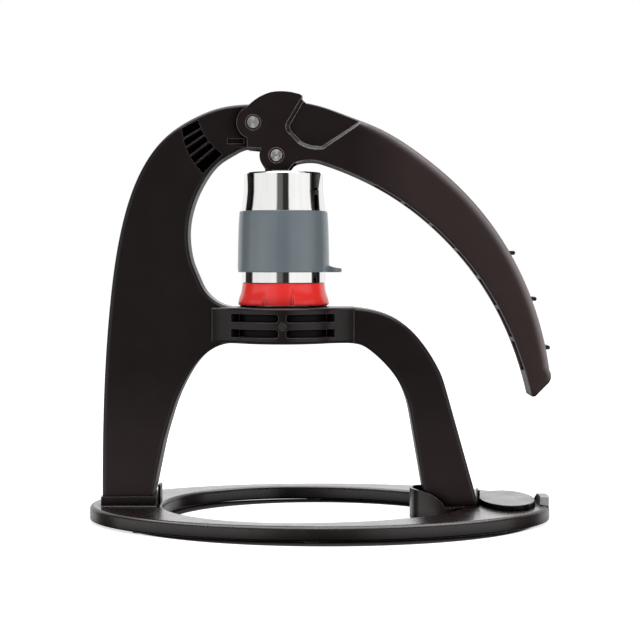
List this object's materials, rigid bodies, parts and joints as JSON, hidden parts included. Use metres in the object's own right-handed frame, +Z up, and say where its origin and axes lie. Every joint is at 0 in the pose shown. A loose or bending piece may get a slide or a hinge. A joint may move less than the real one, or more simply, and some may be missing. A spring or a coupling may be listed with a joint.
{
  "type": "manual lever espresso maker",
  "caption": "Tabletop lever espresso maker: a curved stand on an oval base ring, a lever that presses a piston, and a steel brew head with a grey sleeve and red collar.",
  "frame": {"origin": "on the table under the middle of the oval base ring", "axes": "+X towards the tip of the lever, +Z up, +Y to the far side as seen in the picture"},
  "size_m": [0.299, 0.188, 0.2763],
  "materials": {
    "stand_plastic": "satin",
    "lever_plastic": "satin",
    "pad_plastic": "satin",
    "inner_plastic": "matte",
    "piston_plastic": "satin",
    "rubber": "matte",
    "black_silicone": "matte",
    "red_silicone": "matte",
    "grey_silicone": "matte",
    "red_plastic": "satin",
    "polished_steel": "polished",
    "brushed_steel": "brushed",
    "pin_steel": "turned",
    "screw_steel": "satin",
    "black_screw": "satin",
    "bush_bronze": "satin"
  },
  "bodies": {
    "stand_body": {"base_ring": "stand_plastic", "rubber_feet": "rubber", "base_screws": "screw_steel", "base_medallion": "pad_plastic", "stand": "stand_plastic", "head_seat_ring": "inner_plastic", "collar_screw": "black_screw", "fulcrum_bush": "bush_bronze"},
    "lever_body": {"lever": "lever_plastic", "lever_studs": "rubber", "fulcrum_pin": "pin_steel", "foot_pin": "pin_steel"},
    "foot_body": {"press_foot": "inner_plastic", "foot_bush": "bush_bronze"},
    "head_body": {"brew_cylinder": "polished_steel", "thermal_sleeve": "grey_silicone", "portafilter_collar": "red_plastic", "portafilter": "brushed_steel", "filter_basket": "brushed_steel", "cylinder_gasket": "black_silicone", "dispersion_screen": "brushed_steel"},
    "piston_body_group": {"piston_body": "piston_plastic", "piston_seal_lower": "red_silicone", "piston_seal_upper": "red_silicone", "piston_stem": "brushed_steel", "piston_cap": "inner_plastic"}
  },
  "joints": [
    {"name": "lever_swing", "type": "hinge", "parent": "stand_body", "child": "lever_body", "pos_m": [-0.0424, 0, 0.2565], "axis": [0, -1, 0], "range_deg": [0, 95]},
    {"name": "foot_level", "type": "hinge", "parent": "lever_body", "child": "foot_body", "pos_m": [-0.02765, 0, 0.2356], "axis": [0, -1, 0], "range_deg": [-95, 0]},
    {"name": "brew_head_turn", "type": "hinge", "parent": "stand_body", "child": "head_body", "pos_m": [-0.0235, 0, 0.14], "axis": [0, 0, 1], "continuous": true},
    {"name": "piston_stroke", "type": "slide", "parent": "head_body", "child": "piston_body_group", "axis": [0, 0, 1], "range_m": [0, 0.036]}
  ],
  "couplings": [
    {"joint": "foot_level", "follows": "lever_swing", "ratio": -1},
    {"joint": "piston_stroke", "follows": "lever_swing", "m_per_rad": 0.0212}
  ]
}
